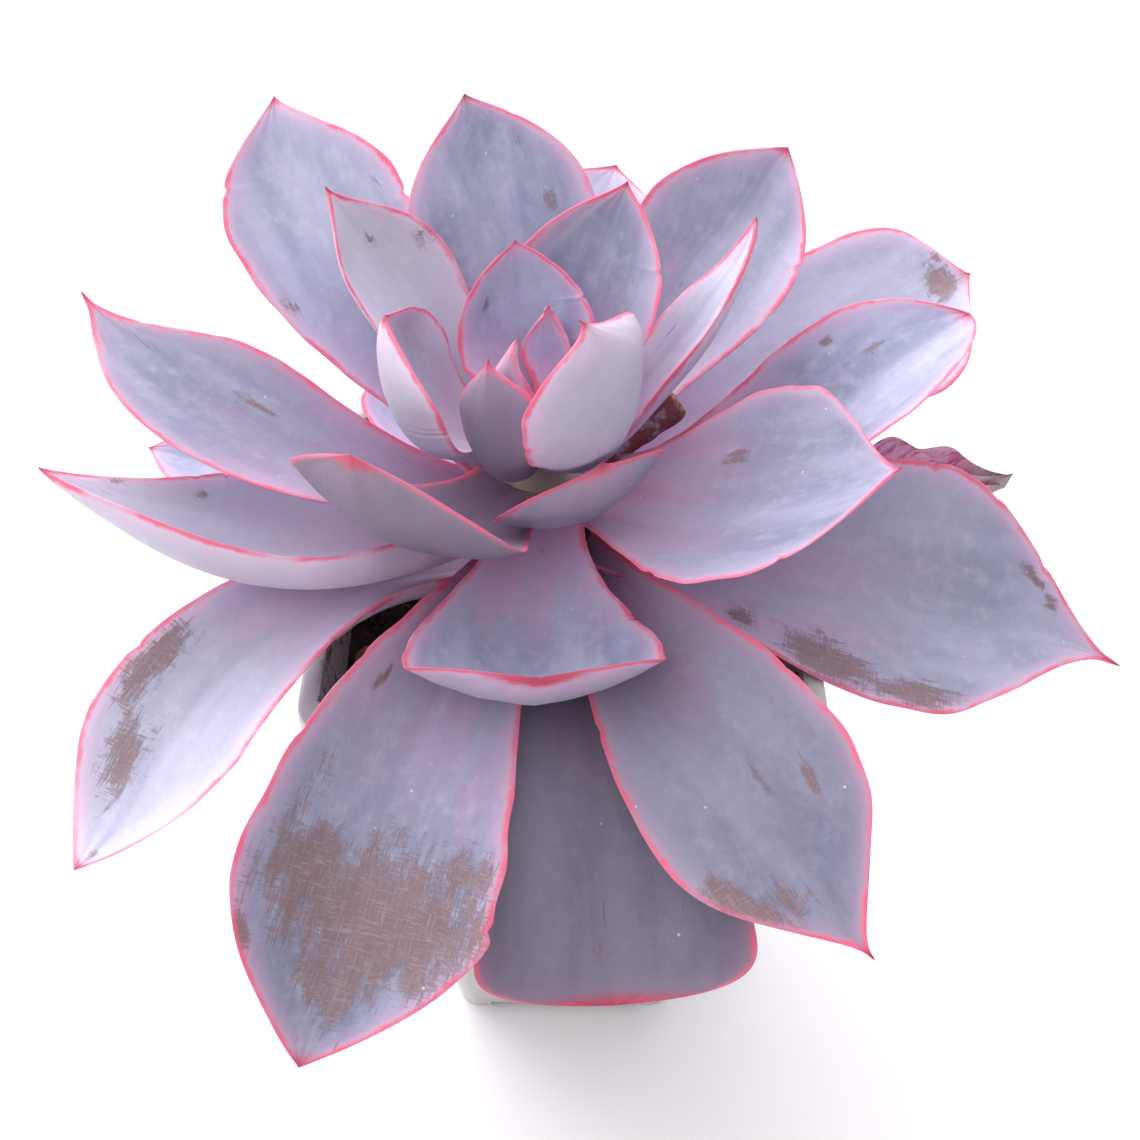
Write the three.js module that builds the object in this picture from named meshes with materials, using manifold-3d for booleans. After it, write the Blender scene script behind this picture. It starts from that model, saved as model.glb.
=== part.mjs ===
// A grey-lavender rosette succulent in a tall square nursery pot, in millimetres, +Z up.
// The origin is the middle of the pot's underside, on the central foot.
// +X is the plant's right and -Y its front.
import * as THREE from "three";
import { mergeVertices } from "three/addons/utils/BufferGeometryUtils.js";
import Module from "manifold-3d";

const wasm = await Module();
wasm.setup();

// ---- driving dimensions ----

const gap = 0.3; // air left between pieces that touch

const pot = {
  height: 148,
  baseHalf: 29,
  wallTopHalf: 49.5,
  rimHalf: 52.5,
  rimDepth: 8,
  wall: 1.4,
  baseCorner: 6,
  rimCorner: 10,
  floorUnder: 2.4,
  floorTop: 4.4,
  rimLip: 0.6,
  rimRound: 1,
  footLength: 9,
  padRadius: 9,
  drainRadius: 4,
  drainReach: 16,
};

const soil = { top: 135, swell: 1.1, heap: 2.5, heapReach: 18, flatSide: 12 };

const stem = { x: -4, y: 0, foot: 116, top: 186, footRadius: 9.5, shoulder: 164, topRadius: 3.2 };
const stemLevels = [148, 158, 164, 170, 176, 182];

const stalk = { azimuth: 25, rise: 27, height: 163, length: 22, radius: 3.6, standOff: 1.5 };

const colours = {
  pot: 0xf2f2f0,
  soil: 0x3a2c24,
  chip: 0x8a5a38,
  stem: 0x8a7a6a,
  stalk: 0x7a4038,
  leaf: 0xa8a8c4,
  driedLeaf: 0xb08a90,
};

// ---- small helpers ----

const rad = THREE.MathUtils.degToRad;
const ease = (t) => THREE.MathUtils.smoothstep(t, 0, 1);
const mix = THREE.MathUtils.lerp;

// A mesh geometry from rows of points (all rows the same length, each a closed loop), with flat ends.
function loft(rows) {
  const count = rows[0].length;
  const points = rows.flat();
  const faces = [];
  for (let r = 0; r + 1 < rows.length; r++) {
    for (let c = 0; c < count; c++) {
      const a = r * count + c;
      const b = r * count + ((c + 1) % count);
      faces.push(a, b, b + count, a, b + count, a + count);
    }
  }
  const first = points.push(centreOf(rows[0])) - 1;
  const last = points.push(centreOf(rows.at(-1))) - 1;
  const end = (rows.length - 1) * count;
  for (let c = 0; c < count; c++) {
    const d = (c + 1) % count;
    faces.push(first, d, c, last, end + c, end + d);
  }
  return geometryOf(points, faces);
}

function centreOf(row) {
  const sum = new THREE.Vector3();
  row.forEach((p) => sum.add(p));
  return sum.divideScalar(row.length);
}

function geometryOf(points, faces) {
  const geometry = new THREE.BufferGeometry().setFromPoints(points);
  geometry.setIndex(faces);
  return geometry;
}

// Points shared, and faces without area left out, so that the surface is one closed solid.
function solidOf(geometry) {
  geometry.deleteAttribute("normal");
  geometry.deleteAttribute("uv");
  const merged = mergeVertices(geometry, 1e-4);
  const index = merged.index.array;
  const kept = [];
  for (let i = 0; i < index.length; i += 3) {
    const [a, b, c] = index.slice(i, i + 3);
    if (a !== b && b !== c && c !== a) kept.push(a, b, c);
  }
  return new wasm.Manifold(
    new wasm.Mesh({
      numProp: 3,
      vertProperties: merged.attributes.position.array,
      triVerts: new Uint32Array(kept),
    }),
  );
}

function geometryFrom(solid) {
  const mesh = solid.getMesh();
  const geometry = new THREE.BufferGeometry();
  geometry.setAttribute("position", new THREE.BufferAttribute(mesh.vertProperties, 3));
  geometry.setIndex(new THREE.BufferAttribute(mesh.triVerts, 1));
  return geometry;
}

// ---- leaves ----

// Each leaf leaves the stem at `height`, towards `azimuth` (degrees round from the plant's right),
// along a chord that climbs by `rise` degrees for `length`. The midrib bows off the chord by `arch`
// (upwards) and `sway` (to the leaf's left), both as shares of the length. `width` is measured flat,
// `widest` says how far along, `cup` how far each margin (left, right) turns up, `roll` tips the blade
// to lift its left side, `ripple` waves the margins, and `hook` lifts the tip and `drift` takes it to the
// left. `shoulder` and `point` shape the outer end: a high shoulder keeps it broad, a high point draws the
// tip out.
const usual = {
  arch: 0.05,
  sway: 0,
  widest: 0.6,
  shoulder: 2.8,
  point: 1.2,
  neck: 0.36,
  thick: 4,
  cup: [22, 22],
  keel: 6,
  roll: 0,
  ripple: 0,
  hook: 2,
  drift: 0,
};

const leaves = {
  bud_leaf_front: {
    azimuth: 241, rise: 69, height: 186, length: 24, width: 10, widest: 0.53, shoulder: 2, arch: -0.1,
    sway: -0.03, cup: [50, 50], roll: -12, hook: 4,
  },
  bud_leaf_back: {
    azimuth: 79, rise: 80, height: 187, length: 20, width: 11, widest: 0.52, shoulder: 1.8, point: 1.6,
    arch: -0.05, cup: [40, 40], hook: 0,
  },

  heart_leaf_back: {
    azimuth: 105, rise: 61, height: 181, length: 36, width: 32, widest: 0.43, shoulder: 2.5,
    arch: 0.06, cup: [44, 56], roll: -9,
  },
  heart_leaf_front: {
    azimuth: 236, rise: 63, height: 180, length: 32, width: 18, widest: 0.8, shoulder: 2.8, point: 1.8,
    arch: -0.28, sway: 0.14, cup: [50, 45], roll: 8, hook: 3,
  },
  heart_leaf_right: {
    azimuth: 312, rise: 71, height: 178, length: 44, width: 44, widest: 0.68, shoulder: 3.9,
    point: 2.1, arch: -0.2, sway: -0.01, cup: [38, 38], roll: 18, hook: 3, drift: -6,
  },
  heart_leaf_left: {
    azimuth: 187, rise: 54, height: 177, length: 42, width: 42, shoulder: 3.8, arch: -0.18, sway: 0.04,
    cup: [56, 24], roll: -7,
  },

  inner_leaf_back: {
    azimuth: 62, rise: 56, height: 173, length: 54, width: 35, widest: 0.57, shoulder: 2, arch: 0.06,
    cup: [30, 33],
  },
  inner_leaf_back_left: {
    azimuth: 145, rise: 49, height: 169, length: 66, width: 29, widest: 0.65, shoulder: 2.3,
    point: 1.6, arch: 0, cup: [43, 23], roll: -3, hook: 0,
  },
  inner_leaf_right: {
    azimuth: 31, rise: 45, height: 171, length: 60, width: 23, widest: 0.56, shoulder: 1.5, point: 1,
    arch: 0.03, sway: -0.09, cup: [18, 18], roll: -25,
  },
  inner_leaf_front: {
    azimuth: 292, rise: 44, height: 171, length: 28, width: 37, widest: 0.7, shoulder: 4.4, point: 1.7,
    arch: -0.1, sway: -0.02, cup: [10, 8], roll: 6, hook: 4, drift: 2,
  },
  inner_leaf_front_left: {
    azimuth: 227, rise: 35, height: 171, length: 52, width: 52, widest: 0.67, shoulder: 3.4,
    point: 0.9, arch: -0.16, sway: 0.05, cup: [8, 8], roll: 11, hook: 5.5,
  },

  middle_leaf_back: {
    azimuth: 106, rise: 49, height: 163, length: 79, width: 41, shoulder: 2.5, arch: 0.06,
    sway: -0.035, cup: [12, 22], roll: -4,
  },
  middle_leaf_back_left: {
    azimuth: 133, rise: 35, height: 160, length: 98, width: 40, widest: 0.69, shoulder: 1.9,
    arch: 0.07, sway: 0.08, cup: [32, 28], roll: -22, hook: 3, drift: -3,
  },
  middle_leaf_back_right: {
    azimuth: 45, rise: 37, height: 162, length: 82, width: 40, widest: 0.69, shoulder: 2.1, point: 1,
    arch: -0.01, sway: 0.04, cup: [25, 25], roll: 15, hook: 5,
  },
  middle_leaf_right: {
    azimuth: 15, rise: 25, height: 158, length: 88, width: 38, widest: 0.65, shoulder: 3.4, point: 0.8,
    arch: -0.03, sway: -0.08, cup: [30, 30], hook: 0, drift: -3,
  },
  middle_leaf_front_right: {
    azimuth: 340, rise: 23, height: 167, length: 67, width: 60, widest: 0.54, shoulder: 3.6,
    point: 1.9, arch: -0.05, sway: -0.05, cup: [14, 14], roll: 0, hook: 0,
  },
  middle_leaf_front: {
    azimuth: 270, rise: 2, height: 167, length: 54, width: 50, widest: 0.76, shoulder: 4.9, point: 0.9,
    arch: -0.14, sway: -0.03, cup: [19, 20], hook: 10,
  },
  middle_leaf_left: {
    azimuth: 163, rise: 20, height: 159, length: 98, width: 36, widest: 0.58, shoulder: 2.2,
    point: 1.8, arch: 0.03, sway: 0.16,
  },

  outer_leaf_front: {
    azimuth: 278, rise: -14, height: 148, length: 91, width: 52, widest: 0.85, shoulder: 5.3,
    point: 0.8, arch: 0.155, sway: 0.02, cup: [12, 12],
  },
  outer_leaf_front_left: {
    azimuth: 251, rise: -13, height: 153, length: 111, width: 49, widest: 0.75, shoulder: 1.5,
    point: 1.0, arch: 0.135, sway: -0.02, cup: [16, 34], roll: -14, hook: 3.5, drift: -3,
  },
  outer_leaf_front_right: {
    azimuth: 301, rise: -8, height: 154, length: 104, width: 43, widest: 0.67, shoulder: 2.2,
    point: 1.8, arch: 0.1, sway: -0.03, cup: [34, 18], roll: 20, drift: 1,
  },
  outer_leaf_right: {
    azimuth: 351, rise: -9, height: 153, length: 117, width: 58, shoulder: 1.8, point: 2, neck: 0.6,
    arch: 0.05, sway: -0.02, cup: [36, 26], roll: 24, hook: -1, drift: -2,
  },
  outer_leaf_left_front: {
    azimuth: 228, rise: -4, height: 149, length: 107, width: 35, widest: 0.73, shoulder: 1.5,
    point: 1.0, arch: 0.1, sway: -0.17, cup: [36, 12], roll: -10, hook: 8, drift: -6,
  },
  outer_leaf_left: {
    azimuth: 189, rise: 17, height: 159, length: 92, width: 46, widest: 0.42, shoulder: 2.2,
    point: 1.2, arch: -0.08, sway: 0.12, cup: [68, 16], roll: 6, hook: 1, drift: 2,
  },
  outer_leaf_back_right: {
    azimuth: 25, rise: 20, height: 149, length: 102, width: 50, widest: 0.75, shoulder: 4.2,
    point: 1.6, arch: 0.01, sway: 0.06, cup: [18, 13], roll: 7, hook: 4, drift: 2,
  },
  outer_leaf_back: {
    azimuth: 79, rise: 26, height: 152, length: 86, width: 45, shoulder: 3.1, sway: 0.06, roll: 3,
  },

  lowest_leaf_left: { azimuth: 164, rise: 3, height: 148, length: 84, width: 36 },
  lowest_leaf_back_left: { azimuth: 126, rise: 6, height: 151, length: 54, width: 34 },
  lowest_leaf_back: { azimuth: 110, rise: 6, height: 148, length: 84, width: 40 },
  lowest_leaf_back_right: { azimuth: 52, rise: 3, height: 147, length: 86, width: 42 },
};

// A withered leaf, thin and rolled nearly shut, hanging on below the others.
const driedLeaf = {
  azimuth: 14, rise: -3, height: 147, length: 101, width: 20, arch: 0.06, cup: [70, 60], ripple: 2.2,
  thick: 2.2,
};

function spanOf(cup) {
  return Math.abs(cup) < 0.01 ? 0.01 : cup;
}

// A function from (share along, share across, depth) to a point of the leaf. Across runs from -1, the
// right margin, to 1, the left; depth is 0 on the upper face and 1 on the under face.
function leafSurface(given, grow = 0) {
  const leaf = { ...usual, ...given };
  const azimuth = rad(leaf.azimuth);
  const rise = rad(leaf.rise);
  const outwards = new THREE.Vector3(Math.cos(azimuth), Math.sin(azimuth), 0);
  const left = new THREE.Vector3(-Math.sin(azimuth), Math.cos(azimuth), 0);
  const chord = outwards.clone().multiplyScalar(Math.cos(rise));
  chord.z = Math.sin(rise);
  const lift = new THREE.Vector3().crossVectors(chord, left);
  const base = outwards.clone().multiplyScalar(stemRadius(leaf.height) + gap);
  base.add(new THREE.Vector3(stem.x, stem.y, leaf.height));

  const halfWidth = (s) => {
    if (s < leaf.widest) return (mix(leaf.neck, 1, ease(s / leaf.widest)) * leaf.width) / 2;
    const u = (s - leaf.widest) / (1 - leaf.widest);
    return ((1 - u ** leaf.shoulder) ** leaf.point * leaf.width) / 2;
  };

  return (s, across, depth) => {
    const bow = 4 * s * (1 - s);
    const slope = 4 * (1 - 2 * s);
    const tip = Math.max(0, (s - 0.8) / 0.2);
    const spine = base.clone();
    spine.addScaledVector(chord, leaf.length * s);
    spine.addScaledVector(lift, leaf.length * leaf.arch * bow + leaf.hook * tip ** 2);
    spine.addScaledVector(left, leaf.length * leaf.sway * bow + leaf.drift * tip ** 2);

    const along = chord.clone().addScaledVector(lift, leaf.arch * slope);
    along.addScaledVector(left, leaf.sway * slope).normalize();
    const flat = left.clone().addScaledVector(along, -left.dot(along)).normalize();
    const face = new THREE.Vector3().crossVectors(along, flat);
    const roll = rad(leaf.roll) * ease(s * 2);
    const side = flat.clone().multiplyScalar(Math.cos(roll)).addScaledVector(face, Math.sin(roll));
    const up = face.clone().multiplyScalar(Math.cos(roll)).addScaledVector(flat, -Math.sin(roll));

    const reach = Math.abs(across);
    const hand = Math.sign(across);
    const keel = rad(leaf.keel);
    const cup = spanOf(rad(leaf.cup[across > 0 ? 0 : 1]) * (1.5 - 0.5 * ease(s * 2)));
    const half = halfWidth(s) + grow;
    const turn = keel + cup * reach;
    const out = (half / cup) * (Math.sin(turn) - Math.sin(keel));
    const climb = (half / cup) * (Math.cos(keel) - Math.cos(turn));
    const crests = Math.sin(2 * Math.PI * (2.3 * s + 0.4 * hand));
    const wave = leaf.ripple * reach ** 2 * Math.sin(Math.PI * s) * crests;
    const body = leaf.thick * (1 - s ** 3) ** 0.6 * (1 - reach ** 2) ** 0.7;
    const sunk = mix(-grow, body + grow, depth);

    const point = spine;
    point.addScaledVector(side, hand * (out + sunk * Math.sin(turn)));
    point.addScaledVector(up, climb + wave - sunk * Math.cos(turn));
    return point;
  };
}

const alongSteps = [0, 0.1, 0.22, 0.36, 0.5, 0.62, 0.74, 0.85, 0.94, 1];
const acrossSteps = [1, 0.5, 0, -0.5, -1];

function leafGeometry(leaf, grow = 0) {
  const at = leafSurface(leaf, grow);
  const rows = alongSteps.map((s) => {
    const over = acrossSteps.map((across) => at(s, across, 0));
    const under = acrossSteps.slice(1, -1).map((across) => at(s, -across, 1));
    return [...over, ...under];
  });
  return loft(rows);
}

// ---- stem and flower stalk ----

function stemRadius(z) {
  return mix(stem.footRadius, stem.topRadius, ease((z - stem.shoulder) / (stem.top - stem.shoulder)));
}

function circle(centre, radius, sides, normal) {
  const turn = new THREE.Quaternion().setFromUnitVectors(new THREE.Vector3(0, 0, 1), normal);
  return Array.from({ length: sides }, (_, i) => {
    const a = (i / sides) * 2 * Math.PI;
    const point = new THREE.Vector3(radius * Math.cos(a), radius * Math.sin(a), 0);
    return point.applyQuaternion(turn).add(centre);
  });
}

function stemGeometry(grow = 0) {
  const levels = [stem.foot - grow, ...stemLevels, stem.top + grow];
  const up = new THREE.Vector3(0, 0, 1);
  return loft(
    levels.map((z) => circle(new THREE.Vector3(stem.x, stem.y, z), stemRadius(z) + grow, 14, up)),
  );
}

// The stub left by a cut flower stalk: a short rod with a rounded, slightly wider cut end.
function stalkGeometry(grow = 0) {
  const azimuth = rad(stalk.azimuth);
  const rise = rad(stalk.rise);
  const along = new THREE.Vector3(
    Math.cos(azimuth) * Math.cos(rise),
    Math.sin(azimuth) * Math.cos(rise),
    Math.sin(rise),
  );
  const start = new THREE.Vector3(stem.x, stem.y, stalk.height);
  const inner = (stemRadius(stalk.height) + gap + stalk.standOff) / Math.cos(rise);
  const outer = inner + stalk.length;
  const stations = [
    [inner - grow, stalk.radius * 0.9],
    [mix(inner, outer, 0.5), stalk.radius],
    [outer - 1.2, stalk.radius * 1.08],
    [outer + grow, stalk.radius * 0.8],
  ];
  const rings = stations.map(([reach, radius]) => {
    const centre = start.clone().addScaledVector(along, reach);
    return circle(centre, radius + grow, 12, along);
  });
  return loft(rings);
}

// ---- pot and soil ----

// A square ring with rounded corners at height z.
function squareRing(half, corner, z, perCorner = 4) {
  const ring = [];
  for (let quarter = 0; quarter < 4; quarter++) {
    for (let i = 0; i <= perCorner; i++) {
      const a = (quarter + i / perCorner) * (Math.PI / 2);
      const turn = quarter * (Math.PI / 2) + Math.PI / 4;
      const reach = (half - corner) * Math.SQRT2;
      ring.push(
        new THREE.Vector3(
          reach * Math.cos(turn) + corner * Math.cos(a),
          reach * Math.sin(turn) + corner * Math.sin(a),
          z,
        ),
      );
    }
  }
  return ring;
}

function wallHalf(z) {
  return mix(pot.baseHalf, pot.wallTopHalf, z / pot.height);
}

function wallCorner(z) {
  return mix(pot.baseCorner, pot.rimCorner, z / pot.height);
}

// An upright round disc through the pot's underside.
function discGeometry(radius, thickness, sides) {
  return new THREE.CylinderGeometry(radius, radius, thickness, sides).rotateX(Math.PI / 2);
}

function potSolid() {
  const under = pot.height - pot.rimDepth;
  const outer = loft([
    squareRing(wallHalf(0), wallCorner(0), 0),
    squareRing(wallHalf(under), wallCorner(under), under),
    squareRing(pot.rimHalf - pot.rimLip, pot.rimCorner, under + 0.4),
    squareRing(pot.rimHalf, pot.rimCorner, under + 0.4 + pot.rimRound),
    squareRing(pot.rimHalf, pot.rimCorner, pot.height - pot.rimRound),
    squareRing(pot.rimHalf - pot.rimRound, pot.rimCorner - pot.rimRound, pot.height),
  ]);
  const hollow = loft([
    squareRing(wallHalf(pot.floorTop) - pot.wall, wallCorner(0) - 1, pot.floorTop),
    squareRing(wallHalf(pot.height) - pot.wall, wallCorner(pot.height) - 1, pot.height + 1),
  ]);
  let solid = solidOf(outer).subtract(solidOf(hollow));
  const footless = 2 * (pot.baseHalf - pot.footLength);
  const across = 4 * pot.baseHalf;
  const notch = solidOf(new THREE.BoxGeometry(footless, across, 2 * pot.floorUnder));
  const crossNotch = solidOf(new THREE.BoxGeometry(across, footless, 2 * pot.floorUnder));
  const pad = solidOf(discGeometry(pot.padRadius, 3 * pot.floorUnder, 24));
  solid = solid.subtract(notch.add(crossNotch).subtract(pad));
  for (const x of [-pot.drainReach, pot.drainReach]) {
    for (const y of [-pot.drainReach, pot.drainReach]) {
      const drain = discGeometry(pot.drainRadius, 3 * pot.floorTop, 16);
      solid = solid.subtract(solidOf(drain.translate(x, y, 0)));
    }
  }
  return solid;
}

// The room that the pot's rim needs, with the gap all round it.
function rimRoom() {
  const bottom = pot.height - pot.rimDepth - gap;
  const top = pot.height + gap;
  const outside = pot.rimHalf + gap;
  const inside = wallHalf(bottom) - pot.wall - gap;
  const block = loft([squareRing(outside, pot.rimCorner, bottom), squareRing(outside, pot.rimCorner, top)]);
  const hole = loft([
    squareRing(inside, pot.rimCorner - pot.wall, bottom - 1),
    squareRing(inside, pot.rimCorner - pot.wall, top + 1),
  ]);
  return solidOf(block).subtract(solidOf(hole));
}

// How high the soil's surface stands at (x, y): a low uneven swell, heaped up a little round the stem.
function soilHeight(x, y) {
  const uneven = Math.sin(x / 6 + 1) * Math.cos(y / 7) + 0.6 * Math.sin((x + y) / 4);
  const reach = Math.hypot(x - stem.x, y - stem.y) / soil.heapReach;
  return soil.top + soil.swell * uneven + soil.heap * Math.exp(-(reach ** 2));
}

function soilSolid() {
  const side = (z) => squareRing(wallHalf(z) - pot.wall - gap, wallCorner(z) - 1, z, 3);
  const edge = side(soil.top);
  const surface = [1, 0.82, 0.64, 0.46, 0.28, 0.14].map((share) =>
    edge.map((p) => {
      const x = mix(stem.x, p.x, share);
      const y = mix(stem.y, p.y, share);
      return new THREE.Vector3(x, y, soilHeight(x, y));
    }),
  );
  const body = solidOf(loft([side(pot.floorTop + gap), side(soil.top - soil.flatSide), ...surface]));
  const pressedIn = chips.map((chip) => solidOf(chipGeometry(chip, gap)));
  return pressedIn.reduce((left, chip) => left.subtract(chip), body.subtract(solidOf(stemGeometry(gap))));
}

// Where the lumps of bark and pumice lie, their size, and the way each is turned (radians).
const chips = [
  { x: -40, y: -22, size: 4.2, turn: 0.4 },
  { x: -36, y: -35, size: 2.6, turn: 2.1 },
  { x: -30, y: -27, size: 2.2, turn: 4.4 },
  { x: -41, y: 6, size: 3.2, turn: 1.3 },
  { x: -24, y: 33, size: 3, turn: 5.2 },
  { x: 6, y: 38, size: 3.6, turn: 0.9 },
  { x: 33, y: 28, size: 3, turn: 3.1 },
  { x: 37, y: -16, size: 3.4, turn: 2.6 },
  { x: 14, y: -36, size: 2.8, turn: 5.8 },
];

// A knobbly lump of bark or pumice, half sunk in the soil.
function chipGeometry({ x, y, size, turn }, grow = 0) {
  const geometry = new THREE.IcosahedronGeometry(1, 1);
  const position = geometry.getAttribute("position");
  const corner = new THREE.Vector3();
  const reach = size + grow;
  const squash = new THREE.Vector3(1, 0.8, 0.7);
  for (let i = 0; i < position.count; i++) {
    corner.fromBufferAttribute(position, i);
    const knobs = 0.16 * Math.sin(5 * corner.x + turn) * Math.cos(4 * corner.y - turn);
    corner.multiplyScalar((1 + knobs + 0.1 * Math.sin(6 * corner.z)) * reach).multiply(squash);
    corner.applyAxisAngle(new THREE.Vector3(0, 0, 1), turn);
    position.setXYZ(i, corner.x, corner.y, corner.z);
  }
  geometry.translate(x, y, soilHeight(x, y) + size * 0.35);
  return geometry;
}

// ---- clearance ----

// A leaf is dented by whatever it grew against: the stem, the stalk, the pot and the younger leaves above it.
function clearOf(solid, neighbours) {
  let left = solid;
  for (const neighbour of neighbours) {
    if (meets(left.boundingBox(), neighbour.boundingBox())) left = left.subtract(neighbour);
  }
  const pieces = left.decompose();
  return pieces.reduce((best, piece) => (piece.volume() > best.volume() ? piece : best));
}

function meets(a, b) {
  return [0, 1, 2].every((k) => a.min[k] <= b.max[k] && b.min[k] <= a.max[k]);
}

// ---- the object ----

const group = new THREE.Group();
group.name = "potted_succulent";

function addPiece(name, geometry, colour, roughness) {
  const material = new THREE.MeshStandardMaterial({ color: colour, roughness });
  const mesh = new THREE.Mesh(geometry, material);
  mesh.name = name;
  group.add(mesh);
}

addPiece("pot", geometryFrom(potSolid()), colours.pot, 0.45);
addPiece("soil", geometryFrom(soilSolid()), colours.soil, 0.95);
addPiece("stem", stemGeometry(), colours.stem, 0.9);
addPiece("flower_stalk_stub", stalkGeometry(), colours.stalk, 0.7);
chips.forEach((chip, i) => addPiece(`soil_chip_${i + 1}`, chipGeometry(chip), colours.chip, 0.9));

// Youngest leaf first: each older leaf gives way to the younger ones above it.
const inTheWay = [solidOf(stemGeometry(gap)), solidOf(stalkGeometry(gap)), rimRoom()];
for (const [name, leaf] of [...Object.entries(leaves), ["dried_leaf", driedLeaf]]) {
  const colour = leaf === driedLeaf ? colours.driedLeaf : colours.leaf;
  addPiece(name, geometryFrom(clearOf(solidOf(leafGeometry(leaf)), inTheWay)), colour, 0.6);
  inTheWay.push(solidOf(leafGeometry(leaf, gap)).add(solidOf(leafGeometry(leaf))));
}

export default group;
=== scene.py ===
import math

import bpy
import numpy as np
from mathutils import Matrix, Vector


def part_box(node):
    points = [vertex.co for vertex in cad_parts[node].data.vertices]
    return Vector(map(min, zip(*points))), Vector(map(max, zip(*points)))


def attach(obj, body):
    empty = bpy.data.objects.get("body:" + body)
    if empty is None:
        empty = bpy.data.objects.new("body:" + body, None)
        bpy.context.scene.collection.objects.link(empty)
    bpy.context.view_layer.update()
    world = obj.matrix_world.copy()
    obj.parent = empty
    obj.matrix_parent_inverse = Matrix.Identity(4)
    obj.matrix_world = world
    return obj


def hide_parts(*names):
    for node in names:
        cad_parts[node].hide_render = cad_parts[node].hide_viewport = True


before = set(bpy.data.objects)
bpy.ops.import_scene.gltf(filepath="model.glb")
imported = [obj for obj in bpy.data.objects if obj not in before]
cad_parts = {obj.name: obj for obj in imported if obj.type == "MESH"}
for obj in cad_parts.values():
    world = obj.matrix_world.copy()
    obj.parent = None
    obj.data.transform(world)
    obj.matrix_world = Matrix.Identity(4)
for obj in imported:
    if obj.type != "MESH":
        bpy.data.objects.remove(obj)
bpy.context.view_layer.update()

MM = 0.001

# ---- places and sizes taken from the frame, in millimetres ----


def box_mm(node):
    """Lowest and highest corner of a CAD node, in millimetres."""
    low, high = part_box(node)
    return np.array(low) / MM, np.array(high) / MM


pot_low, pot_high = box_mm("pot")
stem_low, stem_high = box_mm("stem")

RIM_HALF = (pot_high[0] - pot_low[0]) / 2
RIM_TOP = pot_high[2]
STEM_X, STEM_Y = ((stem_low + stem_high) / 2)[:2]
STEM_FOOT = stem_low[2]
STEM_TOP = stem_high[2]
STEM_FOOT_RADIUS = (stem_high[0] - stem_low[0]) / 2
STEM_TOP_RADIUS = 3.2
STEM_SHOULDER = STEM_TOP - 22
GAP = 0.3

# ---- small numeric helpers ----


def ease(t):
    t = np.clip(t, 0, 1)
    return t * t * (3 - 2 * t)


def mix(a, b, t):
    return a + (b - a) * t


def ripples(rng, x, lowest, highest, count=5):
    """A smooth random curve over x, about -1 to 1, made of a few sine waves."""
    total = np.zeros_like(np.asarray(x, float))
    for _ in range(count):
        total = total + np.sin(rng.uniform(lowest, highest) * x + rng.uniform(0, 2 * math.pi))
    return total / math.sqrt(count * 2)


def unit(v):
    return v / np.linalg.norm(v, axis=-1, keepdims=True)


# ---- meshes ----


def new_mesh(name, points, faces, attributes=None):
    """A smooth-shaded object at the origin, from points in millimetres."""
    mesh = bpy.data.meshes.new(name)
    mesh.from_pydata((np.asarray(points) * MM).tolist(), [], faces)
    for key, values in (attributes or {}).items():
        layer = mesh.attributes.new(key, "FLOAT", "POINT")
        layer.data.foreach_set("value", np.asarray(values, np.float32))
    mesh.polygons.foreach_set("use_smooth", np.ones(len(mesh.polygons), bool))
    mesh.update()
    piece = bpy.data.objects.new(name, mesh)
    bpy.context.scene.collection.objects.link(piece)
    return piece


def loft_faces(rows, columns):
    """Quads between closed loops of points, with a fan closing each end."""
    faces = []
    for r in range(rows - 1):
        for c in range(columns):
            a = r * columns + c
            b = r * columns + (c + 1) % columns
            faces.append((a, b, b + columns, a + columns))
    first = rows * columns
    last = first + 1
    end = (rows - 1) * columns
    for c in range(columns):
        d = (c + 1) % columns
        faces.append((first, d, c))
        faces.append((last, end + c, end + d))
    return faces


def loft(name, rows, attributes=None):
    """A closed skin through loops of points; attributes hold one value per point of each loop."""
    rows = np.asarray(rows)
    count, columns = rows.shape[:2]
    points = np.vstack([rows.reshape(-1, 3), rows[0].mean(0), rows[-1].mean(0)])
    values = {}
    for key, grid in (attributes or {}).items():
        grid = np.broadcast_to(grid, (count, columns))
        values[key] = np.concatenate([grid.ravel(), [grid[0].mean(), grid[-1].mean()]])
    return new_mesh(name, points, loft_faces(count, columns), values)


def finish_piece(piece, material, slot, *nodes):
    """Gives a piece its material, hangs it under the root body and hides the CAD nodes it stands for; the
    slot is not used.
    """
    piece.data.materials.append(material)
    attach(piece, "root")
    if nodes:
        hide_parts(*nodes)


# ---- node materials ----


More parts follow.
